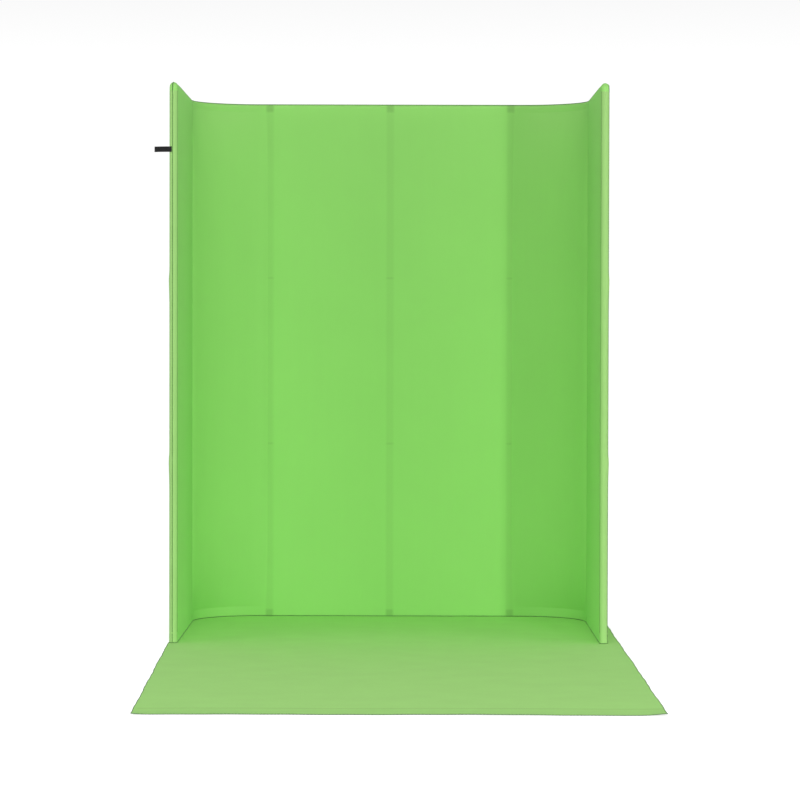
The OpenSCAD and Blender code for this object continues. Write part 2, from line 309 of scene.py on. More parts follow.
def outer_wall():
    """The skin away from the bay, which also wraps round both front posts to the seam inside them."""
    left_out, left_post = post_wrap(-1, -1, -176, WRAP_STEPS)
    right_out, right_post = post_wrap(1, -4, -179, WRAP_STEPS)
    wrap_s = PATH + COVER_R * np.radians(np.linspace(4, 179, WRAP_STEPS))
    s = np.concatenate([-wrap_s[::-1], COLUMNS, wrap_s])
    rows = []
    for z in ROWS:
        out = np.vstack([left_out, plan_out(COLUMNS, pull(z)), right_out])
        line = np.vstack([left_post, plan_line(COLUMNS, pull(z)), right_post])
        drawn = drawn_in(COLUMNS, z) - ripples(COLUMNS, z, 1.7)
        drawn = np.concatenate([np.zeros(WRAP_STEPS), drawn, np.zeros(WRAP_STEPS)])
        offset = COVER_R - drawn + button_bulge(s, z)
        rows.append(at_height(line + offset[:, None] * out, z))
    uvs = np.stack(np.meshgrid(s, ROWS), axis=-1)
    return grid_piece("wall_back", np.array(rows), uvs)


def sleeve():
    """The cover's fold over the top rail, with its rounded tips over the two elbows."""
    cheek = np.linspace(0, ELBOW_R, 4)
    over = np.linspace(0, math.pi, 13)
    lateral = np.concatenate([-np.full(3, COVER_R), -COVER_R * np.cos(over), np.full(3, COVER_R)])
    radial = np.concatenate([cheek[:-1], ELBOW_R + COVER_R * np.sin(over), cheek[-2::-1]])
    run = COLUMNS[np.abs(COLUMNS) < PATH - ELBOW_R - 0.002]
    run = np.concatenate([[-PATH + ELBOW_R], run, [PATH - ELBOW_R]])
    tips = np.radians(np.linspace(0, 90, 10)[1:])
    points, uvs = [], []

    def station(centre, out, up, u):
        points.append([centre + a * out + r * up for a, r in zip(lateral, radial)])
        uvs.append([(u, SLEEVE_Z + r) for r in radial])

    def tip(side, turn):
        centre = np.array([side * HALF_W, ELBOW_R, SLEEVE_Z])
        up = np.array([0, -math.sin(turn), math.cos(turn)])
        station(centre, np.array([side, 0, 0]), up, side * (PATH + ELBOW_R * turn))

    for turn in tips[::-1]:
        tip(-1, turn)
    for u, centre, out in zip(run, at_height(plan_line(run), SLEEVE_Z), at_height(plan_out(run), 0)):
        station(centre, out, np.array([0, 0, 1]), u)
    for turn in tips:
        tip(1, turn)
    return grid_piece("sleeve", np.array(points), np.array(uvs))


def outline():
    """Stations once round the cover: centre line points, directions away from it, and path distances."""
    steps = 17
    left_out, left_post = post_wrap(-1, 0, -180, steps)
    right_out, right_post = post_wrap(1, 0, -180, steps)
    inner = COLUMNS[::-1]
    wrap_s = np.linspace(PATH, PATH + COVER_R * math.pi, steps)
    line = np.vstack([plan_line(COLUMNS), right_post[1:-1], plan_line(inner), left_post[1:-1]])
    out = np.vstack([plan_out(COLUMNS), right_out[1:-1], -plan_out(inner), left_out[1:-1]])
    s = np.concatenate([COLUMNS, wrap_s[1:-1], inner, -wrap_s[::-1][1:-1]])
    return line, out, s


def outline_piece(name, profile):
    """Sweeps a closed profile of offsets and heights once round the cover."""
    line, out, s = outline()
    points = [[(*(c + a * d), z) for a, z in profile] for c, d in zip(line, out)]
    uvs = [[(u, z) for a, z in profile] for u in s]
    return grid_piece(name, np.array(points), np.array(uvs), close_rows=True, close_columns=True)


def hem():
    """The folded hem: a flat double layer, fuller along its fold at the floor, flush with the wall above."""
    thick, thin = HEM_T / 2, COVER_T / 2
    outside = [
        (thick * 0.6, HEM_Z0 + 0.0003), (thick, HEM_Z0 + 0.002), (thick, HEM_Z0 + 0.012),
        (thick * 0.9, HEM_Z1 - 0.014), (thin, HEM_Z1 - 0.006), (thin, HEM_Z1),
    ]
    profile = [(HEM_R, HEM_Z0)] + [(HEM_R + a, z) for a, z in outside]
    profile += [(HEM_R - a, z) for a, z in outside[::-1]]
    return outline_piece("hem", profile)


# ---- Stitches ----

def stitch_shape(length, thick):
    """One sunken lockstitch along X, a low lens of thread, modelled once for all rows."""
    bpy.ops.object.select_all(action="DESELECT")
    bpy.ops.mesh.primitive_uv_sphere_add(segments=6, ring_count=4, radius=0.5)
    piece = bpy.context.object
    piece.rotation_euler = (0, math.radians(90), 0)
    bpy.ops.object.transform_apply(rotation=True)
    piece.scale = (length, thick, thick * 0.7)
    bpy.ops.object.transform_apply(scale=True)
    points = np.array([v.co for v in piece.data.vertices])
    faces = [tuple(p.vertices) for p in piece.data.polygons]
    bpy.data.objects.remove(piece)
    return points, faces


def along_route(route, outs, pitch):
    """Evenly spaced places on a route, each with its run direction and its outward direction."""
    runs = np.linalg.norm(np.diff(route, axis=0), axis=1)
    total = np.concatenate([[0], np.cumsum(runs)])
    spots = np.arange(pitch / 2, total[-1], pitch)
    places = np.stack([np.interp(spots, total, route[:, i]) for i in range(3)], axis=-1)
    ahead = np.stack([np.interp(spots + 0.001, total, route[:, i]) for i in range(3)], axis=-1)
    behind = np.stack([np.interp(spots - 0.001, total, route[:, i]) for i in range(3)], axis=-1)
    out = np.stack([np.interp(spots, total, outs[:, i]) for i in range(3)], axis=-1)
    run = ahead - behind
    run /= np.linalg.norm(run, axis=1, keepdims=True)
    out /= np.linalg.norm(out, axis=1, keepdims=True)
    return places, run, out


def stitch_rows(name, rows, length=0.0045, thick=0.0011, pitch=0.007):
    """Stitches along several routes as one piece. Each route comes with its outward directions."""
    shape, faces = stitch_shape(length, thick)
    points, all_faces = [], []
    for route, outs in rows:
        for place, run, out in zip(*along_route(route, outs, pitch)):
            across = np.cross(out, run)
            base = len(points) * len(shape)
            points.append(place + shape @ np.array([run, across, out]))
            all_faces += [tuple(base + i for i in face) for face in faces]
    points = np.concatenate(points)
    return mesh_piece(name, points, all_faces, points[:, [0, 2]])


# ---- Seams ----

def close_ends(piece):
    """Fills the open ends of a tube."""
    pick(piece)
    bpy.ops.object.mode_set(mode="EDIT")
    bpy.ops.mesh.select_all(action="SELECT")
    bpy.ops.mesh.fill_holes(sides=0)
    bpy.ops.object.mode_set(mode="OBJECT")


def rolled_seam(name, route, outs, across, tall, closed=False):
    """An overlocked edge rolled to a cord along a route, swelling where each loop of thread crosses it."""
    if closed:
        route, outs = np.vstack([route, route[:1]]), np.vstack([outs, outs[:1]])
    turn = np.linspace(0, 2 * math.pi, 7)[:-1]
    rows = []
    for i, (place, run, out) in enumerate(zip(*along_route(route, outs, LOOP_PITCH))):
        swell = 1.0 if i % 2 else LOOP_WAIST
        side = np.cross(out, run)
        rows.append([place + swell * (out * tall * math.sin(t) + side * across * math.cos(t)) for t in turn])
    points = np.array(rows)
    seam = grid_piece(name, points, points[:, :, [0, 2]], close_rows=closed, close_columns=True)
    if not closed:
        close_ends(seam)
    return seam


def seam_turn(side):
    """How far round from the front of its post an edge seam runs, in degrees: the right one has slid out."""
    return RIGHT_SEAM_TURN if side > 0 else LEFT_SEAM_TURN


def top_seam():
    """The seam over the top rail: it leans towards the bay, then turns down both tips to the edge seams."""
    s = COLUMNS[np.abs(COLUMNS) < PATH - ELBOW_R]
    radius = COVER_OUT + SEAM_LIFT
    route, outs = [], []
    for u, centre, out in zip(s, at_height(plan_line(s), TOP_Z), at_height(plan_out(s), 0)):
        near = max(0, 1 - (PATH - abs(u)) / SEAM_SLIDE_REACH) ** 2
        slide = math.radians(seam_turn(u) * near - TOP_SEAM_LEAN * (1 - near))
        away = math.sin(slide) * out + math.cos(slide) * UP
        route.append(centre + radius * away)
        outs.append(away)
    ends = {}
    for side in (-1, 1):
        slide = math.radians(seam_turn(side))
        ends[side] = []
        for turn in np.radians(np.linspace(6, 90, 12)):
            up = np.array([0, -math.sin(turn), math.cos(turn)])
            away = math.sin(slide) * np.array([side, 0, 0]) + math.cos(slide) * up
            bend = np.array([side * HALF_W, ELBOW_R, SLEEVE_Z])
            ends[side].append((bend + ELBOW_R * up + radius * away, away))
        foot, away = ends[side][-1]
        ends[side].append((foot - LOOP_PITCH / 2 * UP, away))
    route = [p for p, away in ends[-1][::-1]] + route + [p for p, away in ends[1]]
    outs = [away for p, away in ends[-1][::-1]] + outs + [away for p, away in ends[1]]
    return rolled_seam("top_seam", np.array(route), np.array(outs), SEAM_R * 1.3, SEAM_R * 0.8)


def upright_seam(name, side, turn, z_values, radius):
    """A seam down a front post, a turn in degrees outwards from the front of the post."""
    angle = math.radians(turn)
    out = np.array([side * math.sin(angle), -math.cos(angle), 0])
    foot = np.array([side * HALF_W, 0, 0]) + radius * out
    route = np.array([foot + z * UP for z in z_values])
    return rolled_seam(name, route, np.tile(out, (len(route), 1)), SEAM_R, SEAM_R * 0.7)


# ---- Floor mat ----

mat_low, mat_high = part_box("floor_mat")
MAT_T = mat_high.z - mat_low.z
mat_points = sorted({(round(v.co.x, 4), round(v.co.y, 4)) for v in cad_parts["floor_mat"].data.vertices})
MAT_FRONT = sorted(x for x, y in mat_points if abs(y - mat_low.y) < 0.001)
MAT_BACK = sorted(x for x, y in mat_points if abs(y - mat_high.y) < 0.001)
MAT_CORNER = 0.018
MAT_FOLD_Y = mat_low.y + 0.172
MAT_CLEAR_Y = -0.12
MAT_CLEAR_FADE = 0.25
MAT_WAVE = 0.0008
MAT_FLUTTER = 0.0006
MAT_EDGE_REACH = 0.05
MAT_CREASE = 0.0012
MAT_CREASE_HALF_W = 0.006
MAT_CURLS = [0.002, 0.005]
MAT_CURL_REACH = 0.04


def mat_edge(y, side):
    """Where the mat's left or right edge lies at depth y, with its slight wander and rounded corners."""
    along = (y - mat_low.y) / (mat_high.y - mat_low.y)
    straight = MAT_FRONT[side] + along * (MAT_BACK[side] - MAT_FRONT[side])
    wander = 0.0012 * math.sin(y * 9.0 + 2 * side) + 0.0007 * math.sin(y * 31.0 + side)
    from_end = min(y - mat_low.y, mat_high.y - y, MAT_CORNER)
    inset = MAT_CORNER - math.sqrt(max(MAT_CORNER ** 2 - (MAT_CORNER - from_end) ** 2, 0))
    return straight + wander + (inset if side == 0 else -inset)


def mat_lift(x, y):
    """How far the mat stands off the floor: flat under the frame, then waves, a crease and curled corners."""
    ahead = np.clip((MAT_CLEAR_Y - y) / MAT_CLEAR_FADE, 0, 1)
    width = np.minimum(x - mat_edge(y, 0), mat_edge(y, 1) - x)
    edge = np.exp(-(width / MAT_EDGE_REACH) ** 2) + math.exp(-((y - mat_low.y) / MAT_EDGE_REACH) ** 2)
    waves = np.sin(x * 7.3 + 1.1 * np.sin(y * 3.1)) * math.sin(y * 4.7 + 0.6)
    waves = waves + 0.6 * np.sin(x * 3.1 - y * 5.9)
    flutter = np.sin(x * 31 + y * 3) * 0.5 + np.sin(y * 27 - x * 5) * 0.5
    crease = MAT_CREASE * math.exp(-((y - MAT_FOLD_Y) / MAT_CREASE_HALF_W) ** 2)
    lift = MAT_WAVE * (1 + waves) + MAT_FLUTTER * edge * (1 + flutter) + crease
    for side, height in enumerate(MAT_CURLS):
        from_corner = np.hypot(x - mat_edge(mat_low.y + MAT_CORNER, side), y - mat_low.y)
        lift = lift + height * np.exp(-(from_corner / MAT_CURL_REACH) ** 2)
    return lift * ahead


def mat_rows():
    """Depths of the mat's rows: close together round its corners and by its crease."""
    corner = MAT_CORNER * (1 - np.cos(np.linspace(0, math.pi / 2, 7)))
    inside = spaced(mat_low.y + MAT_CORNER, mat_high.y - MAT_CORNER, 0.028, 0.004, 0.022, [MAT_FOLD_Y])
    return np.concatenate([mat_low.y + corner[:-1], inside, mat_high.y - corner[-2::-1]])


def floor_mat():
    """The mat as a sheet, and its border."""
    across = np.linspace(0, 1, 84)
    across = across - 0.035 * np.sin(2 * math.pi * across)
    points = []
    for y in mat_rows():
        left, right = mat_edge(y, 0), mat_edge(y, 1)
        x = left + across * (right - left)
        bow = 0.0015 * np.sin(x * 8.0) * math.exp(-((y - mat_low.y) / 0.1) ** 2)
        points.append(np.column_stack([x, y + bow, MAT_T / 2 + mat_lift(x, y)]))
    points = np.array(points)
    return grid_piece("mat", points, points[:, :, :2].copy()), mat_border(points)


def mat_border(points):
    """The mat's edge, once round, with directions away from the mat."""
    edge = np.vstack([points[0, :-1], points[:-1, -1], points[-1, :0:-1], points[:0:-1, 0]])
    run = np.roll(edge, -1, axis=0) - np.roll(edge, 1, axis=0)
    out = np.column_stack([run[:, 1], -run[:, 0], np.zeros(len(run))])
    return edge, out / np.linalg.norm(out, axis=1, keepdims=True)


# ---- Label ----

label_low, label_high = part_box("side_label")
LABEL_BOW = 0.0022
LABEL_TWIST = 0.0007
LABEL_SAG = 0.0012


def side_label():
    """A ribbon folded back on itself at its free end and sewn down at the post, bowed to the front."""
    ply = (label_high.y - label_low.y) * 0.30
    y_mid = (label_low.y + label_high.y) / 2
    half = (label_high.y - label_low.y) / 2 - ply / 2
    length = label_high.x - label_low.x
    fold = np.linspace(0, math.pi, 7)
    line = [(label_high.x - length * t, half) for t in np.linspace(0, 0.985, 16)]
    line += [(label_low.x + half - half * math.sin(t), half * math.cos(t)) for t in fold[1:-1]]
    line += [(label_high.x - length * t, -half) for t in np.linspace(0.985, 0, 16)]
    heights = np.linspace(label_low.z, label_high.z, 9)
    points, uvs = [], []
    for z in heights:
        far = np.array([(label_high.x - x) / length for x, y in line])
        share = (z - label_low.z) / (label_high.z - label_low.z)
        bow = -LABEL_BOW * far ** 2 + LABEL_TWIST * far * math.sin(share * 3.1)
        sag = -LABEL_SAG * far ** 2
        points.append([(x, y_mid + y + b, z + d) for (x, y), b, d in zip(line, bow, sag)])
        uvs.append([(x, z) for x, y in line])
    label = grid_piece("label", np.array(points), np.array(uvs))
    apply_modifier(label, "SOLIDIFY", thickness=ply, offset=0)
    return label


def label_stitches():
    """Two short rows that hold the ribbon's sewn end, on its front face."""
    rows = []
    for inset in (0.004, 0.008):
        x = label_high.x - inset
        z = np.linspace(label_low.z + 0.002, label_high.z - 0.002, 5)
        route = np.column_stack([np.full(5, x), np.full(5, label_low.y - 0.0001), z])
        rows.append((route, np.tile([0.0, -1.0, 0.0], (5, 1))))
    return stitch_rows("label_stitches", rows, length=0.0024, thick=0.0006, pitch=0.0033)


# ---- Materials ----

def linear(colour):
    """An sRGB hex colour as the linear colour that a shader takes."""
    parts = [int(colour[i:i + 2], 16) / 255 for i in (1, 3, 5)]
    return (*[p / 12.92 if p <= 0.04045 else ((p + 0.055) / 1.055) ** 2.4 for p in parts], 1)


def add_node(tree, kind, inputs=None, **settings):
    """Adds a node, sets its settings, and gives each input a value or a link."""
    node = tree.nodes.new(kind)
    for name, value in settings.items():
        setattr(node, name, value)
    for name, value in (inputs or {}).items():
        if isinstance(value, bpy.types.NodeSocket):
            tree.links.new(value, node.inputs[name])
        else:
            node.inputs[name].default_value = value
    return node


def new_material(name, **values):
    """A material with one Principled shader, and plain values set on its sockets."""
    material = bpy.data.materials.new(name)
    material.use_nodes = True
    tree = material.node_tree
    tree.nodes.clear()
    shader = add_node(tree, "ShaderNodeBsdfPrincipled")
    for socket, value in values.items():
        shader.inputs[socket.replace("_", " ")].default_value = value
    add_node(tree, "ShaderNodeOutputMaterial", {"Surface": shader.outputs[0]})
    return material, tree, shader


def calc(tree, operation, *values):
    """The result of one step of arithmetic."""
    return add_node(tree, "ShaderNodeMath", dict(enumerate(values)), operation=operation).outputs[0]


def within(tree, value, centre, half, soft):
    """1 within half of the centre, and 0 further than half and soft away."""
    away = calc(tree, "ABSOLUTE", calc(tree, "SUBTRACT", value, centre))
    limits = {"Value": away, "From Min": half, "From Max": half + soft, "To Min": 1, "To Max": 0}
    return add_node(tree, "ShaderNodeMapRange", limits, interpolation_type="SMOOTHSTEP").outputs[0]


def noise(tree, place, size, detail=2.0):
    """Noise from 0 to 1 with blotches of about a size in metres."""
    return add_node(
        tree, "ShaderNodeTexNoise", {"Vector": place, "Scale": 1 / size, "Detail": detail}
    ).outputs[0]


def stretched(tree, place, scale):
    """A place scaled along each axis: a scale under 1 draws a pattern out that way."""
    return add_node(tree, "ShaderNodeMapping", {"Vector": place, "Scale": scale}).outputs[0]


def tinted(tree, colour, factor):
    """A colour made lighter or darker by a factor."""
    return add_node(
        tree, "ShaderNodeMix", {0: 1.0, 6: colour, 7: factor}, data_type="RGBA", blend_type="MULTIPLY"
    ).outputs[2]


def knit_bump(tree, shader, u, v, wale, depth):
    """Rows of knitted loops: wales a given distance apart along u, courses a little closer along v."""
    wales = calc(tree, "SINE", calc(tree, "MULTIPLY", u, 2 * math.pi / wale))
    courses = calc(tree, "SINE", calc(tree, "MULTIPLY", v, 2 * math.pi / (wale * 0.8)))
    loops = calc(tree, "MULTIPLY", wales, courses)
    bump = add_node(tree, "ShaderNodeBump", {"Height": loops, "Distance": depth, "Strength": 0.6})
    tree.links.new(bump.outputs[0], shader.inputs["Normal"])


# Painted shade: how much darker the knit is painted over a fitting, a post joint and a plain length of post,
# where they would block light through the thin knit
FITTING_PAINTED_SHADE = 0.22
JOINT_PAINTED_SHADE = 0.13
POST_PAINTED_SHADE = 0.06


def cover_knit(name, colour):
    """Stretch polyester knit, dyed chroma green: matt, with a short soft sheen, and with painted shade where
    the posts, joints and fittings behind the thin knit would block light through it: faint darker bands."""
    material, tree, shader = new_material(
        name, Roughness=0.85, Specular_IOR_Level=0.15, Sheen_Weight=0.03, Sheen_Roughness=0.5
    )
    place = add_node(tree, "ShaderNodeUVMap", uv_map="metres").outputs[0]
    parts = add_node(tree, "ShaderNodeSeparateXYZ", {0: place})
    u, v = parts.outputs[0], parts.outputs[1]
    away = calc(tree, "ABSOLUTE", u)
    nearest = away
    for path in POST_PATHS[1:3]:
        nearest = calc(tree, "MINIMUM", nearest, calc(tree, "ABSOLUTE", calc(tree, "SUBTRACT", away, path)))
    # Painted shade: darker bands over the posts, joints and fittings, standing in for the light that they
    # block through the thin knit
    post = within(tree, nearest, 0, 0.008, 0.016)
    fitting_high = within(tree, v, SLEEVE_Z + 0.045, 0.036, 0.020)
    fitting_low = within(tree, v, HEM_Z0, 0.022, 0.020)
    fitting = calc(tree, "MAXIMUM", fitting_high, fitting_low)
    joint_low = within(tree, v, JOINT_Z[0], 0.002, 0.008)
    joint_high = within(tree, v, JOINT_Z[1], 0.002, 0.008)
    joint = calc(tree, "MAXIMUM", joint_low, joint_high)
    painted_shade = calc(tree, "MULTIPLY", fitting, FITTING_PAINTED_SHADE)
    painted_shade = calc(tree, "MAXIMUM", painted_shade, calc(tree, "MULTIPLY", joint, JOINT_PAINTED_SHADE))
    painted_shade = calc(tree, "MULTIPLY", calc(tree, "MAXIMUM", painted_shade, POST_PAINTED_SHADE), post)
    cloud = calc(tree, "MULTIPLY", noise(tree, place, 0.30, 2.0), 0.05)
    streak = calc(tree, "MULTIPLY", noise(tree, stretched(tree, place, (1.0, 0.05, 1.0)), 0.035), 0.02)
    shade = calc(tree, "SUBTRACT", calc(tree, "ADD", calc(tree, "ADD", cloud, streak), 0.965), painted_shade)
    tree.links.new(tinted(tree, linear(colour), shade), shader.inputs["Base Color"])
    # The real loops are 0.8 mm apart. They are drawn 6 mm apart so that the knit still shows from the front.
    knit_bump(tree, shader, u, v, 0.006, 0.00012)
    return material


def mat_knit():
    """The mat's heavier brushed knit: a little duller than the cover, in paler and darker blotches."""
    material, tree, shader = new_material(
        "brushed_polyester_knit", Roughness=0.9, Specular_IOR_Level=0.2,
        Sheen_Weight=0.05, Sheen_Roughness=0.6
    )
    place = add_node(tree, "ShaderNodeUVMap", uv_map="metres").outputs[0]
    parts = add_node(tree, "ShaderNodeSeparateXYZ", {0: place})
    u, v = parts.outputs[0], parts.outputs[1]
    cloud = calc(tree, "MULTIPLY", noise(tree, place, 0.16, 4.0), 0.09)
    pile = calc(tree, "MULTIPLY", noise(tree, place, 0.012), 0.05)
    # Painted shade: the knit is painted darker along the crease at the fold line
    fold = calc(tree, "MULTIPLY", within(tree, v, MAT_FOLD_Y, 0.004, 0.010), 0.10)
    hem_band = calc(tree, "MULTIPLY", within(tree, v, mat_low.y, MAT_FOLD_Y - mat_low.y, 0.004), 0.03)
    shade = calc(tree, "ADD", calc(tree, "ADD", cloud, pile), 0.93)
    shade = calc(tree, "SUBTRACT", calc(tree, "SUBTRACT", shade, fold), hem_band)
    tree.links.new(tinted(tree, linear(MAT_GREEN), shade), shader.inputs["Base Color"])
    # The real loops are 1.2 mm apart. They are drawn 8 mm apart so that the knit still shows from the front.
    knit_bump(tree, shader, u, v, 0.008, 0.0002)
    return material


def sewing_thread(name, colour):
    """Spun polyester thread: soft, with a fine twist that breaks up its highlight."""
    material, tree, shader = new_material(name, Roughness=0.7, Specular_IOR_Level=0.3, Sheen_Weight=0.1)
    place = add_node(tree, "ShaderNodeTexCoord").outputs["Object"]
    twist = noise(tree, place, 0.002)
    shade = calc(tree, "ADD", calc(tree, "MULTIPLY", twist, 0.3), 0.82)
    tree.links.new(tinted(tree, linear(colour), shade), shader.inputs["Base Color"])
    bump = add_node(tree, "ShaderNodeBump", {"Height": twist, "Distance": 0.0003, "Strength": 0.5})
    tree.links.new(bump.outputs[0], shader.inputs["Normal"])
    return material


def woven_ribbon():
    """Black woven polyester ribbon: close ribs across it and a dull satin sheen."""
    material, tree, shader = new_material(
        "woven_polyester_ribbon", Roughness=0.6, Specular_IOR_Level=0.2
    )
    place = add_node(tree, "ShaderNodeUVMap", uv_map="metres").outputs[0]
    parts = add_node(tree, "ShaderNodeSeparateXYZ", {0: place})
    # The real ribs are 0.4 mm apart. They are drawn 1.2 mm apart so that they show.
    ribs = calc(tree, "SINE", calc(tree, "MULTIPLY", parts.outputs[0], 2 * math.pi / 0.0012))
    shade = calc(tree, "ADD", calc(tree, "MULTIPLY", noise(tree, place, 0.006), 0.5), 0.75)
    tree.links.new(tinted(tree, linear("#060607"), shade), shader.inputs["Base Color"])
    bump = add_node(tree, "ShaderNodeBump", {"Height": ribs, "Distance": 0.0001, "Strength": 0.6})
    tree.links.new(bump.outputs[0], shader.inputs["Normal"])
    return material


def drawn_metal(name, colour, grain, roughness):
    """Drawn tube or strip: fine lines along its length, and handling marks that vary its gloss."""
    material, tree, shader = new_material(name, Metallic=1.0)
    place = add_node(tree, "ShaderNodeTexCoord").outputs["Object"]
    lines = noise(tree, stretched(tree, place, grain), 0.0012, 3.0)
    marks = noise(tree, place, 0.07, 4.0)
    shade = calc(tree, "ADD", calc(tree, "MULTIPLY", lines, 0.16), 0.9)
    tree.links.new(tinted(tree, linear(colour), shade), shader.inputs["Base Color"])
    rough = calc(tree, "ADD", calc(tree, "MULTIPLY", marks, 0.22), roughness - 0.11)
    tree.links.new(rough, shader.inputs["Roughness"])
    bump = add_node(tree, "ShaderNodeBump", {"Height": lines, "Distance": 0.00006, "Strength": 0.5})
    tree.links.new(bump.outputs[0], shader.inputs["Normal"])
    return material


def moulded_nylon():
    """Glass-filled nylon, moulded in a spark-eroded tool: near black, finely pebbled, scuffed in patches."""
    material, tree, shader = new_material("glass_filled_nylon", Specular_IOR_Level=0.5)
    place = add_node(tree, "ShaderNodeTexCoord").outputs["Object"]
    grain = noise(tree, place, 0.0012, 3.0)
    scuffs = noise(tree, place, 0.03, 5.0)
    shade = calc(tree, "ADD", calc(tree, "MULTIPLY", scuffs, 0.7), 0.7)
    tree.links.new(tinted(tree, linear("#1c1d1f"), shade), shader.inputs["Base Color"])
    rough = calc(tree, "ADD", calc(tree, "MULTIPLY", scuffs, 0.25), 0.38)
    tree.links.new(rough, shader.inputs["Roughness"])
    bump = add_node(tree, "ShaderNodeBump", {"Height": grain, "Distance": 0.0001, "Strength": 0.5})
    tree.links.new(bump.outputs[0], shader.inputs["Normal"])
    return material


def hook_tape():
    """Self-gripping nylon tape, hook side out: rows of tiny hooks give a dark, dry, pebbled face, with
    painted shade between the hooks.
    """
    material, tree, shader = new_material("nylon_hook_tape", Roughness=0.65, Specular_IOR_Level=0.4)
    place = add_node(tree, "ShaderNodeTexCoord").outputs["Object"]
    # The real hooks stand 1.2 mm apart. They are drawn 3 mm apart so that they show.
    hooks = add_node(tree, "ShaderNodeTexVoronoi", {"Vector": place, "Scale": 1 / 0.003}).outputs[0]
    # Painted shade: the tape is painted darker away from each hook, in the hollows between them
    shade = calc(tree, "SUBTRACT", 1.15, calc(tree, "MULTIPLY", hooks, 0.6))
    tree.links.new(tinted(tree, linear("#1f4a1c"), shade), shader.inputs["Base Color"])
    relief = {"Height": hooks, "Distance": 0.001, "Strength": 0.8}
    bump = add_node(tree, "ShaderNodeBump", relief, invert=True)
    tree.links.new(bump.outputs[0], shader.inputs["Normal"])
    return material


def give(piece, material):
    """Puts one material in every slot of a piece."""
    if not piece.material_slots:
        piece.data.materials.append(material)
    for slot in piece.material_slots:
        slot.material = material


def faces_bay(x, y):
    """Whether a spot on the cover lies on the bay's side of the rails."""
    return y > 0 and math.hypot(max(abs(x) - BEND_X, 0), max(y - BEND_Y, 0)) < CORNER_R


def give_both_fabrics(piece):
    """Face fabric towards the bay and on the caps over the post tips, back fabric away from the bay: their
    two greens are partly the knit's two faces and partly painted light.
    """
    give(piece, knit_face)
    piece.data.materials.append(knit_back)
    for face in piece.data.polygons:
        x, y, z = face.center
        on_cap = z > SLEEVE_Z and y < ELBOW_R
        face.material_index = 0 if on_cap or faces_bay(x, y) else 1


# The two greens of the one knit: partly its two faces, and partly painted light: the face green is more
# saturated for painted bounce light inside the bay, the back green paler for painted sheen on the outer side
FACE_GREEN_AND_PAINTED_BOUNCE = "#98d873"
BACK_GREEN_AND_PAINTED_SHEEN = "#9bcb78"
MAT_GREEN = "#a8e47a"
knit_face = cover_knit("stretch_polyester_knit_face_and_painted_bounce", FACE_GREEN_AND_PAINTED_BOUNCE)
knit_back = cover_knit("stretch_polyester_knit_back_and_painted_sheen", BACK_GREEN_AND_PAINTED_SHEEN)
mat_fabric = mat_knit()
# The edge thread is darker than the seam thread: partly its own colour, and partly painted shade along the
# top edge, the foot of the wall and the mat's edge, where it runs
cover_thread = sewing_thread("polyester_overlock_thread_light", "#54803a")
edge_thread = sewing_thread("polyester_overlock_thread_dark", "#3f6e33")
ribbon = woven_ribbon()
ribbon_thread = sewing_thread("polyester_thread_black", "#26282a")
nylon = moulded_nylon()
post_metal = drawn_metal("anodised_aluminium_post", "#c9ccd0", (1, 1, 0.02), 0.34)
side_rail_metal = drawn_metal("anodised_aluminium_side_rail", "#c9ccd0", (1, 0.02, 1), 0.34)
back_rail_metal = drawn_metal("anodised_aluminium_back_rail", "#c9ccd0", (0.02, 1, 1), 0.34)
spigot_metal = drawn_metal("mill_finish_aluminium", "#b9bbbe", (1, 1, 0.02), 0.42)
spring_metal = drawn_metal("tempered_spring_steel", "#8b9099", (1, 1, 0.05), 0.3)
button_metal = drawn_metal("nickel_plated_steel", "#d6d3cb", (1, 1, 1), 0.22)
tape = hook_tape()

FRAME_FINISHES = [
    ("button_springs", spring_metal), ("button_", button_metal), ("post_spigots", spigot_metal),
    ("post_", post_metal), ("base_rail_side", side_rail_metal), ("top_rail_side", side_rail_metal),
    ("base_rail", back_rail_metal), ("top_rail", back_rail_metal), ("base_elbows", nylon),
    ("top_elbows", nylon), ("base_tees", nylon), ("top_tees", nylon), ("grip_tape", tape),
]
for name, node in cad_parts.items():
    for start, material in FRAME_FINISHES:
        if name.startswith(start):
            give(node, material)
            break


# ---- Cover, label and mat ----

def place_piece(piece, material, body, stands_for=()):
    """Finishes a piece, gives it its material in every slot and its body, and hides the nodes that it stands
    for.
    """
    finish_mesh(piece)
    give(piece, material)
    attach(piece, body)
    if stands_for:
        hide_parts(*stands_for)


def gathers_up(piece):
    """Gives a wall piece its own copy of its mesh."""
    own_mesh(piece)


wall_front = inner_wall()
wall_back = outer_wall()
for wall, fabric, node in ((wall_front, knit_face, "cover_front"), (wall_back, knit_back, "cover_back")):
    apply_modifier(wall, "SOLIDIFY", thickness=COVER_T, offset=0)
    place_piece(wall, fabric, "top_rail", [node])
wall_heights = [HEM_Z1 - LOOP_PITCH / 2, SLEEVE_Z + LOOP_PITCH / 2]
hem_heights = [HEM_Z0, HEM_Z1]
wall_seams, hem_seams = [], []
for side, word in ((-1, "left"), (1, "right")):
    hem_out = HEM_R + HEM_T / 2 + SEAM_LIFT
    hem_seams.append(upright_seam(f"hem_seam_{word}", side, seam_turn(side), hem_heights, hem_out))
    wall_out = COVER_OUT + SEAM_LIFT
    wall_seams.append(upright_seam(f"edge_seam_{word}", side, seam_turn(side), wall_heights, wall_out))
    wall_seams.append(upright_seam(f"panel_seam_{word}", side, -90, wall_heights, COVER_OUT))
for seam in wall_seams:
    place_piece(seam, cover_thread, "top_rail")
for seam in hem_seams:
    place_piece(seam, cover_thread, "hem")
for piece in [wall_front, wall_back, *wall_seams]:
    gathers_up(piece)

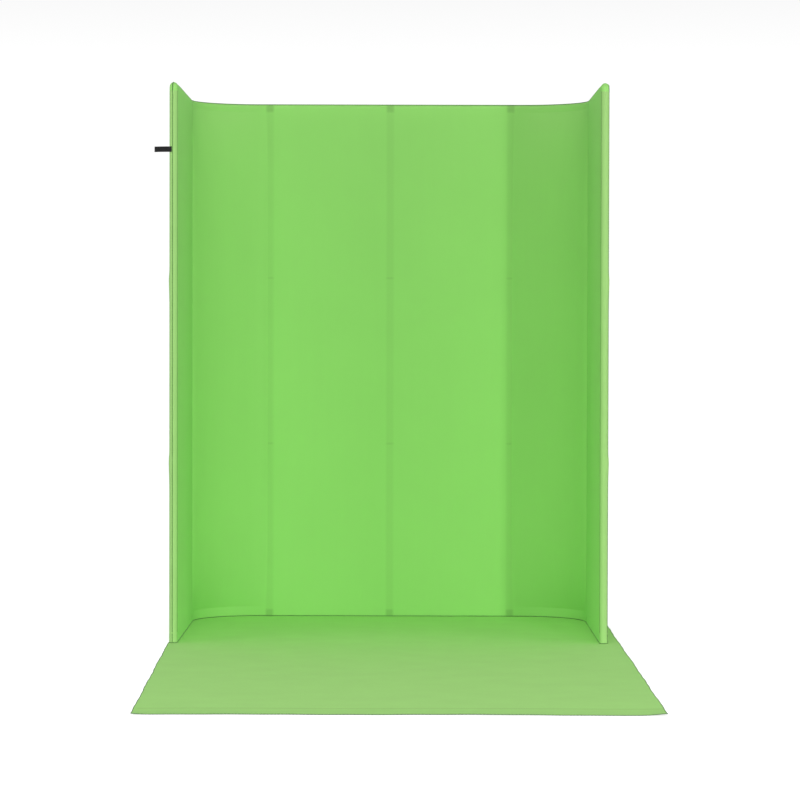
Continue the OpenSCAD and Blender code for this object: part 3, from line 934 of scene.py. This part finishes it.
top_sleeve = sleeve()
apply_modifier(top_sleeve, "SOLIDIFY", thickness=COVER_T, offset=0)
place_piece(top_sleeve, knit_face, "top_rail", ["cover_top"])
give_both_fabrics(top_sleeve)
sleeve_seam = top_seam()
place_piece(sleeve_seam, edge_thread, "top_rail")

bottom_hem = hem()
place_piece(bottom_hem, knit_face, "hem", ["cover_hem"])
give_both_fabrics(bottom_hem)
line, out, s = outline()
hem_route = at_height(line + (HEM_R + SEAM_GAP) * out, HEM_OVERLOCK_Z)
hem_overlock = rolled_seam(
    "hem_overlock", hem_route, at_height(out, 0), OVERLOCK_R, HEM_OVERLOCK_TALL, closed=True
)
place_piece(hem_overlock, edge_thread, "hem")

label = side_label()
place_piece(label, ribbon, "label", ["side_label"])
label_sewing = label_stitches()
place_piece(label_sewing, ribbon_thread, "label")

mat, border = floor_mat()
apply_modifier(mat, "SOLIDIFY", thickness=MAT_T, offset=0)
place_piece(mat, mat_fabric, "mat", ["floor_mat"])
mat_overlock = rolled_seam("mat_overlock", *border, OVERLOCK_R, MAT_OVERLOCK_TALL, closed=True)
place_piece(mat_overlock, edge_thread, "mat")


# ---- Floor and light ----

def soft_box(name, place, aim, size, power):
    """A square studio lamp at a place, turned towards a point."""
    lamp = bpy.data.objects.new(name, bpy.data.lights.new(name, "AREA"))
    bpy.context.scene.collection.objects.link(lamp)
    lamp.data.size = size
    lamp.data.energy = power
    lamp.location = place
    lamp.rotation_euler = (Vector(aim) - Vector(place)).to_track_quat("-Z", "Y").to_euler()


bpy.ops.object.select_all(action="DESELECT")
bpy.ops.mesh.primitive_plane_add(size=60, location=(0, 0, -0.001))
floor = bpy.context.object
floor.name = "studio_floor"
floor_panel, _, floor_shader = new_material(
    "opal_acrylic_floor", Roughness=0.9, Specular_IOR_Level=0.1, Emission_Strength=0.62
)
floor_shader.inputs["Base Color"].default_value = linear("#f0f0f0")
floor_shader.inputs["Emission Color"].default_value = linear("#ffffff")
give(floor, floor_panel)
floor.visible_diffuse = False

BAY = (0, 0.9, 1.2)
soft_box("key", (4.64, -14.0, 2.0), (0.3, 0.9, 1.2), size=0.75, power=490)
soft_box("fill", (-4.36, -14.0, 2.0), BAY, size=1.4, power=170)
soft_box("overhead", (0, -14.0, 10.0), (0, 0, 0.8), size=5.0, power=620)
for side, word in ((-1, "left"), (1, "right")):
    soft_box(f"side_{word}", (side * 10.0, -9.0, 1.2), BAY, size=4.0, power=230)
    soft_box(f"cross_{word}", (side * 6.0, -2.5, 1.1), (side * -0.93, 0.5, 1.1), size=1.6, power=55)

# The studio round the set, as height from straight down, 0, to straight up, 1, and brightness there: white
# walls at eye level, dimmer above, a lighter ceiling, and dark below, where the floor panel hides it
STUDIO_GLOW = [(0.42, 0.12), (0.47, 1.0), (0.54, 1.0), (0.64, 0.36), (0.82, 0.36), (0.93, 0.50)]
world = bpy.data.worlds.new("studio")
bpy.context.scene.world = world
world.use_nodes = True
studio = world.node_tree
direction = add_node(studio, "ShaderNodeTexCoord").outputs["Generated"]
height = add_node(studio, "ShaderNodeSeparateXYZ", {0: direction})
level = add_node(studio, "ShaderNodeMath", {0: height.outputs[2], 1: 0.5, 2: 0.5}, operation="MULTIPLY_ADD")
glow = add_node(studio, "ShaderNodeValToRGB", {"Fac": level.outputs[0]})
for i, (position, brightness) in enumerate(STUDIO_GLOW):
    stop = glow.color_ramp.elements[i] if i < 2 else glow.color_ramp.elements.new(position)
    stop.position = position
    stop.color = (brightness, brightness, brightness, 1)
studio.links.new(glow.outputs[0], studio.nodes["Background"].inputs["Color"])
studio.nodes["Background"].inputs["Strength"].default_value = 1.03
